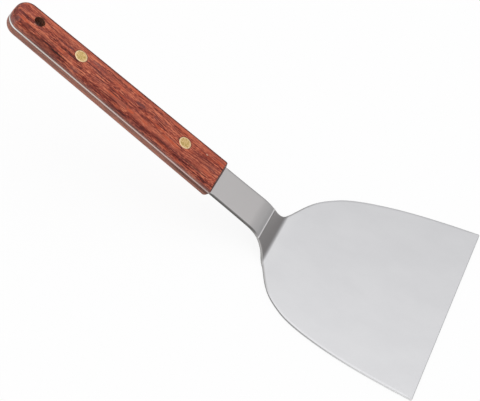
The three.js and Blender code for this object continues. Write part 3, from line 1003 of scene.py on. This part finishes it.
def wood_material(name, seed, patches, painted_floor_light, shaded):
    """The last two arguments set how strongly the outer part of the walls is painted paler with floor
    light, and how much painted shadow of the tang lies beside it.
    """
    net = material_nodes(name)
    span, times, plus, minus, swing = net.span, net.times, net.plus, net.minus, net.swing
    plan = net.plan()
    along, y, height = net.separate(plan)
    # the grain wanders a little along the length, broadly and then more closely
    drift = net.noise(plan, scale=(0.018, 0.03, 0.03), shift=(seed, 0, 0))
    wander = swing(drift, gain=5.5)
    close_drift = net.noise(plan, scale=(0.07, 0.10, 0.10), shift=(seed + 9, 0, 0))
    close = swing(close_drift, gain=1.9)
    grain_y = plus(y, wander, close)
    grain_height = plus(height, times(close, 0.5))
    grain = net.combine(along, grain_y, grain_height)
    # growth bands: shells round an axis far below the board
    ring = net.distance(plus(grain_y, 6.0 + seed), plus(grain_height, 21.0))
    band = net.noise(net.combine(times(along, 0.012), times(ring, 0.42), seed))

    def figure(scale, shift, **settings):
        return net.noise(grain, scale=scale, shift=shift, **settings)

    streak = figure(scale=(0.05, 0.80, 0.80), shift=(seed, 3, 1), roughness=0.55)
    line = figure(scale=(0.12, 1.7, 1.7), shift=(seed, 1, 4), roughness=0.55)
    fibre = figure(scale=(0.30, 5.0, 5.0), shift=(seed, 2, 8), detail=3.0, roughness=0.6)
    broad = figure(scale=(0.035, 0.20, 0.22), shift=(seed, 5, 2))
    hue = figure(scale=(0.06, 0.45, 0.45), shift=(seed + 4, 6, 5))
    pores = figure(scale=(0.30, 6.0, 6.0), shift=(seed, 8, 3), detail=1.0, roughness=0.4)
    pore = times(span(pores, over=(0.62, 0.72)), span(broad, over=(0.35, 0.6), to=(0.4, 1.0)))
    fleck = figure(scale=(0.5, 1.5, 1.5), shift=(seed, 7, 6))
    value = plus(
        swing(band, gain=1.3),
        swing(streak, gain=2.4),
        swing(fleck, gain=1.8),
        swing(line, gain=2.7),
        swing(fibre, gain=2.1),
        0.5,
    )
    colour = net.ramp(value, GRAIN)
    warm = span(hue, over=(0.54, 0.68), to=(0.0, 0.45))
    colour = net.tint(colour, warm, to=srgb(190, 82, 48))
    cool = span(hue, over=(0.46, 0.33), to=(0.0, 0.40))
    colour = net.tint(colour, cool, to=srgb(122, 60, 56))
    # figured places, with a painted shadow and a painted glint among them, each an ellipse with a
    # ragged rim, lengthened with the grain
    torn = plus(swing(line, gain=1.8), swing(fleck, gain=1.3))
    for patch_at, patch_y, half_length, half_across, strength, patch_colour in patches:
        off_along = net.math("DIVIDE", minus(along, patch_at), half_length)
        off_y = net.math("DIVIDE", minus(plus(y, times(close, 0.2)), patch_y), half_across)
        ragged = plus(net.squares(off_along, off_y), times(torn, min(1.0, half_across)))
        mask = span(ragged, over=(1.15, 0.0), to=(0.0, strength))
        colour = net.tint(colour, mask, to=srgb(*patch_colour))
    colour = net.tint(colour, pore, to=srgb(70, 30, 28), strength=0.55)
    away = net.math("ABSOLUTE", height)
    # painted floor light: the outer part of the walls is painted paler and greyer
    floor_lit_walls = span(away, over=(6.3, 5.2), to=(0.0, painted_floor_light))
    colour = net.tint(colour, floor_lit_walls, to=srgb(150, 110, 94))
    # the wood is darker in a ring round each rivet head, and round the hanging hole's rim
    for at in RIVETS:
        from_rivet = net.distance(minus(along, at), y)
        rim = span(from_rivet, over=(RIVET_HEAD_R + 0.7, RIVET_HEAD_R + 0.1), to=(0.0, 0.45))
        colour = net.tint(colour, rim, to=srgb(78, 34, 28))
    from_hole = net.distance(minus(along, HANG_HOLE), y)
    rim = span(from_hole, over=(HANG_HOLE_R + 0.35, HANG_HOLE_R + 0.02), to=(0.0, 0.7))
    colour = net.tint(colour, rim, to=srgb(92, 70, 54))
    # distances behind the leaning front end, below the face and in from the +y side
    behind_end = plus(minus(along, times(away, math.tan(SCALE_END_SLOPE))), SCALE_END_FOOT)
    face_slope = (SCALE_BUTT - SCALE_FRONT) / GRIP_LENGTH
    drop = minus(plus(SCALE_FRONT, times(along, face_slope)), height)
    side = minus(plus(GRIP_HALF_FRONT, times(along, GRIP_TAPER)), y)
    # the +y shoulder is rubbed lighter, and the rounding outside it is darker with painted shade
    rubbed = times(span(side, over=(5.8, 4.6), to=(0.0, 0.38)), span(side, over=(3.1, 3.6)))
    colour = net.tint(colour, rubbed, to=srgb(202, 108, 82))
    rounding = times(span(side, over=(3.6, 2.9), to=(0.0, 0.85)), span(drop, over=(2.6, 1.4)))
    colour = net.tint(colour, rounding, to=srgb(92, 38, 30))
    # the end grain at the front is darker, deepened with painted shade
    end_grain_and_shade = span(behind_end, over=(0.5, 0.12), to=(0.0, 0.85))
    colour = net.tint(colour, end_grain_and_shade, to=srgb(58, 26, 24))
    # painted shade on the rim of the butt
    corner_y = tapered_half(BUTT_START) - BUTT_CORNER_R
    beyond = net.math("MAXIMUM", minus(net.math("ABSOLUTE", y), corner_y), 0.0)
    behind = net.math("MAXIMUM", minus(along, BUTT_START), 0.0)
    from_rim = minus(BUTT_CORNER_R, net.math("SQRT", net.squares(beyond, behind)))
    butt = times(
        span(from_rim, over=(2.0, 0.9), to=(0.0, 0.7)),
        span(along, over=(146.5, 149.5)),
        span(drop, over=(3.2, 2.2)),
    )
    colour = net.tint(colour, butt, to=srgb(88, 40, 34))
    # the foot of the walls is greyed, a painted reflection of the floor
    foot = span(away, over=(2.6, 0.8), to=(0.0, 0.38))
    colour = net.tint(colour, foot, to=srgb(134, 96, 86))
    # painted shadow of the tang in the angle beside it, near the front
    held = times(span(away, over=(2.1, 1.4), to=(0.0, shaded)), span(along, over=(36.0, 22.0)))
    colour = net.tint(colour, held, to=srgb(66, 32, 22))
    # roughness and relief: fibres and lines by their weights, with the pores sunk in
    rough = plus(span(fibre, over=(0.3, 0.7), to=(0.50, 0.42)), times(pore, 0.2))
    relief = minus(times(fibre, 0.6), times(pore, 1.0))
    relief = plus(relief, times(line, 0.3))
    normal = net.bump(relief, distance=0.00004, strength=0.5)
    specular = times(minus(1.0, rounding), 0.25)  # none where the +y rounding is darkest
    return net.done(
        Base_Color=colour, Roughness=rough, Normal=normal, Specular_IOR_Level=specular
    )


def brass_material():
    net = material_nodes("cutlers_brass")
    plan = net.plan()
    x, y, _ = net.separate(plan)
    radius = net.math("SQRT", net.squares(x, y))
    mottle = net.noise(plan, scale=(0.9, 0.9, 0.9), shift=(4, 2, 0), detail=3.0, roughness=0.6)
    speck = net.noise(plan, scale=(3.2, 3.2, 3.2))
    scratch = net.noise(plan, scale=(0.5, 9.0, 3.0))
    # turning marks: rings varying with the radius only
    turned = net.noise(net.combine(net.times(radius, 7.0), 0.0, 0.0))
    dark, light = (0.50, 0.36, 0.105, 1), (0.86, 0.60, 0.30, 1)
    colour = net.tint(dark, net.span(mottle, over=(0.36, 0.64)), to=light)
    specks = net.span(speck, over=(0.5, 0.3))
    colour = net.tint(colour, specks, to=(0.44, 0.31, 0.11, 1), strength=0.35)
    rim = net.span(radius, over=(2.9, 3.5), to=(0.0, 0.8))
    colour = net.tint(colour, rim, to=(0.93, 0.70, 0.44, 1))
    rough = net.plus(
        net.span(scratch, over=(0.3, 0.7), to=(0.30, 0.42)),
        net.span(speck, over=(0.5, 0.3), to=(0.0, 0.08)),
    )
    # scratches and turning marks in equal parts
    relief = net.plus(net.times(scratch, 0.5), net.times(turned, 0.5))
    normal = net.bump(relief, distance=0.00002, strength=0.4)
    return net.done(Base_Color=colour, Metallic=1.0, Roughness=rough, Normal=normal)


# sRGB colours shared by the figured places
PURPLE, MAROON, ORANGE = (104, 54, 52), (98, 32, 26), (200, 86, 48)
DARK, NEAR_BLACK, GREY, PALE = (76, 26, 22), (52, 18, 16), (128, 84, 80), (206, 156, 134)

# Figured places in the wood, with a painted shadow and a painted glint among them, laid on in this
# order:
# (along the grip, y, half length, half width, strength, sRGB colour).
UPPER_PATCHES = [
    (14.0, -2.4, 16.0, 3.4, 0.55, (122, 50, 40)), (14.0, -7.0, 15.0, 2.8, 0.60, (132, 52, 36)),
    (10.0, 6.0, 16.0, 4.0, 0.42, (136, 56, 42)), (60.0, -7.8, 42.0, 1.6, 0.42, (186, 100, 72)),
    (60.0, -4.8, 42.0, 1.2, 0.28, (122, 50, 38)), (52.0, -9.0, 22.0, 1.1, 0.45, (168, 84, 62)),
    (16.0, -8.9, 15.0, 1.1, 0.50, (116, 42, 30)), (66.0, 2.8, 40.0, 2.8, 0.18, (192, 106, 82)),
    (122.0, 2.6, 15.0, 3.2, 0.50, (124, 54, 44)), (122.0, -7.2, 15.0, 2.4, 0.45, (118, 48, 36)),
    (138.0, -7.2, 16.0, 2.0, 0.30, (150, 66, 44)), (128.0, -9.7, 24.0, 1.2, 0.66, (92, 32, 24)),
    (142.0, -8.2, 6.0, 1.0, 0.60, (92, 34, 26)), (150.0, -4.0, 4.5, 9.0, 0.40, (134, 62, 54)),
    (18, -9.9, 17, 0.55, 0.85, DARK), (40, -10.3, 9, 0.5, 0.7, DARK),
    (50, -10.5, 26, 0.8, 0.35, MAROON), (84, -9.9, 22, 0.9, 0.50, MAROON),
    # the DARK place at 30.6 along and -5.1 across is a painted shadow below the front rivet
    (30.6, -5.1, 3.2, 0.7, 0.75, DARK), (63.0, 0.6, 4.6, 1.5, 0.85, PURPLE),
    (51.7, 0.2, 2.2, 1.3, 0.7, PURPLE), (45.0, 1.8, 2.0, 0.7, 0.6, PURPLE),
    (40.0, -1.6, 4.0, 0.9, 0.5, MAROON), (8.0, -3.2, 5.0, 1.2, 0.5, PURPLE),
    (12.0, -1.0, 7.0, 0.8, 0.5, MAROON), (17.0, 0.8, 5.0, 0.7, 0.45, MAROON),
    (119.5, -9.05, 6.0, 0.46, 1.0, (44, 8, 6)), (127.5, -8.5, 6.0, 0.36, 0.9, (60, 16, 10)),
    (135.0, -7.5, 12.0, 0.30, 0.8, (80, 26, 18)), (134.0, -9.3, 7.0, 0.28, 0.7, (70, 24, 18)),
    # the PALE place at 139.2 along and -3.9 across is a painted glint on the hanging hole's lower rim
    (126.0, -6.6, 6.0, 0.28, 0.6, (88, 30, 20)), (139.2, -3.9, 0.9, 0.4, 0.6, PALE),
    (98.0, 1.5, 13.0, 3.6, 0.35, (136, 70, 66)), (146.0, 2.0, 8.0, 4.5, 0.30, (150, 66, 56)),
    (131.0, -6.2, 6.0, 0.4, 0.6, MAROON), (114.6, 0.2, 2.8, 1.0, 0.7, PURPLE),
    (143.0, 7.2, 2.0, 0.8, 0.7, DARK), (149.2, -8.0, 2.2, 1.8, 0.75, GREY),
    (146.6, -7.6, 0.7, 1.3, 0.45, NEAR_BLACK), (152.6, -4.5, 0.7, 3.0, 0.45, NEAR_BLACK),
    (97.6, 3.3, 4.0, 1.1, 0.5, GREY), (106.0, -9.6, 4.0, 0.8, 0.4, GREY),
    (93.5, -2.0, 5.0, 1.0, 0.4, PURPLE), (86.0, -9.6, 9.0, 0.9, 0.5, MAROON),
    (8.7, -7.4, 5.0, 1.2, 0.35, ORANGE), (36.0, -6.2, 7.0, 1.2, 0.6, ORANGE),
    (46.0, -4.2, 5.0, 1.1, 0.5, ORANGE), (66.0, -8.2, 3.0, 0.9, 0.7, ORANGE),
    (55.5, -8.1, 3.5, 0.8, 0.5, ORANGE), (5.0, 5.2, 4.5, 1.2, 0.55, ORANGE),
    (34.5, 6.6, 10.0, 1.2, 0.5, ORANGE), (72.0, 6.5, 10.0, 1.2, 0.4, ORANGE),
    (118.7, -7.0, 4.0, 0.8, 0.6, ORANGE), (145.5, -6.2, 4.5, 0.9, 0.6, ORANGE),
    (80.0, -7.4, 6.0, 0.7, 0.5, ORANGE), (128.0, 5.5, 8.0, 1.5, 0.35, ORANGE),
    (14.6, 3.9, 0.9, 0.6, 0.8, PALE),
]
LOWER_PATCHES = [
    (40, 6.0, 24, 1.3, 0.5, MAROON), (96, -4.0, 18, 1.5, 0.5, MAROON),
    (70, 1.0, 7, 1.4, 0.5, PURPLE), (126, 5.0, 9, 1.6, 0.4, ORANGE),
]

# ------------------------------------------------------------------ build

steel = steel_material()
wood_upper = wood_material("rosewood_upper", seed=1.0, patches=UPPER_PATCHES, painted_floor_light=0.0, shaded=0.0)
wood_lower = wood_material(
    "rosewood_lower", seed=6.3, patches=LOWER_PATCHES, painted_floor_light=0.60, shaded=0.62
)
brass = brass_material()


def register(obj, material, node):
    obj.data.materials.append(material)
    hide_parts(node)
    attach(obj, "root")


sheet = build_sheet().make("spatula_blade_neck_and_tang")
register(sheet, steel, "blade_and_tang")
upper = build_scale(under=False).make("upper_wood_scale")
register(upper, wood_upper, "upper_scale")
lower = build_scale(under=True).make("lower_wood_scale")
register(lower, wood_lower, "lower_scale")
for which, at in zip(("front", "rear"), RIVETS):
    male, female = build_rivet(which, at)
    register(male, brass, which + "_rivet_male")
    register(female, brass, which + "_rivet_female")

# ------------------------------------------------------------------ floor, light and camera

FLOOR_HALF, FLOOR_Z = 3.0, -0.0004  # metres
FLOOR_GLOW, FLOOR_GLOW_SEEN = 0.25, 0.90  # share of emission, for other rays and camera rays

# The studio's brightness by the upward part of the direction, and its greatest value.
OVERHEAD = [
    (0.0, 0.46), (0.10, 0.49), (0.35, 0.575), (0.574, 0.65), (0.70, 0.95), (0.78, 1.13),
    (0.86, 1.42), (1.0, 1.85),
]
BRIGHTEST = OVERHEAD[-1][1]


def build_floor():
    size = FLOOR_HALF
    corners = [(x, y, FLOOR_Z) for x, y in ((-size, -size), (size, -size), (size, size), (-size, size))]
    mesh = bpy.data.meshes.new("floor")
    mesh.from_pydata(corners, [], [(0, 1, 2, 3)])
    obj = new_object("floor", mesh)
    net = material_nodes("pale_floor")
    diffuse = net.add("BsdfDiffuse", {"Color": (0.86, 0.86, 0.86, 1)})
    glow = net.add("Emission", {"Color": (1, 1, 1, 1), "Strength": 1.0})
    seen = net.add("LightPath").outputs["Is Camera Ray"]
    shares = {"Factor": seen, 2: FLOOR_GLOW, 3: FLOOR_GLOW_SEEN}
    share = net.add("Mix", shares, data_type="FLOAT").outputs[0]
    mixed = net.add("MixShader", {0: share, 1: diffuse.outputs[0], 2: glow.outputs[0]})
    net.add("OutputMaterial", {"Surface": mixed.outputs[0]})
    mesh.materials.append(net.owner)


def build_world():
    """A big soft source overhead, falling off to a horizon that is brighter towards -y."""
    net = Nodes(bpy.data.worlds.new("studio"))
    bpy.context.scene.world = net.owner
    _, y, z = net.separate(net.add("TexCoord").outputs["Generated"])
    stops = []
    for position, value in OVERHEAD:
        grey = value / BRIGHTEST
        stops.append((position, (grey, grey, grey * 1.01, 1)))
    overhead = net.ramp(z, stops)
    towards = net.span(y, over=(0.2, -0.7))
    low = net.span(z, over=(0.75, 0.15))
    lift = net.times(towards, low, 0.40)  # 0.40 is the most the horizon gains
    path = net.add("LightPath")
    # the middle of the overhead source is masked from mirror reflections
    hood = net.times(path.outputs["Is Glossy Ray"], net.span(z, over=(0.90, 1.0), to=(0.0, 0.55)))
    strength = net.times(net.plus(1.0, lift), net.minus(1.0, hood), BRIGHTEST)
    light = net.add("Background", {"Color": overhead, "Strength": strength})
    plain = net.add("Background", {"Color": (1, 1, 1, 1), "Strength": 1.0})
    shaders = {0: path.outputs["Is Camera Ray"], 1: light.outputs[0], 2: plain.outputs[0]}
    both = net.add("MixShader", shaders)
    net.add("OutputWorld", {"Surface": both.outputs[0]})


# The camera's view: lengths measured from the lower bend line on the blade's top are turned
# about the vector CAMERA_TURN by its length in radians, and then moved by CAMERA_MOVE, into
# axes of x right, y down and z ahead.
CAMERA_TURN = Vector((2.3254636, 0.5473783, 0.0015457))
CAMERA_MOVE = Vector((21.7296, 23.5951, 833.5763))
SENSOR_WIDTH = 36.0
LENS = 103.9051725
LENS_SHIFT_X, LENS_SHIFT_Y = 0.00223395833, -0.00211270833  # shares of the sensor's width


def build_camera():
    data = bpy.data.cameras.new("camera")
    camera = new_object("camera", data)
    to_frame = Matrix.Rotation(CAMERA_TURN.length, 3, CAMERA_TURN.normalized()).transposed()
    eye = -(to_frame @ CAMERA_MOVE) + Vector((-BLADE_LENGTH / 2, 0, SHEET))
    # a Blender camera has y up and looks along its -z
    flip = Matrix(((1, 0, 0), (0, -1, 0), (0, 0, -1)))
    placed = (to_frame @ flip).to_4x4()
    placed.translation = eye * MM
    camera.matrix_world = placed
    data.sensor_width = SENSOR_WIDTH
    data.lens = LENS
    data.shift_x, data.shift_y = LENS_SHIFT_X, LENS_SHIFT_Y
    data.clip_start, data.clip_end = 0.01, 20
    bpy.context.scene.camera = camera


build_floor()
build_world()
bpy.context.scene.view_settings.view_transform = "Standard"
build_camera()
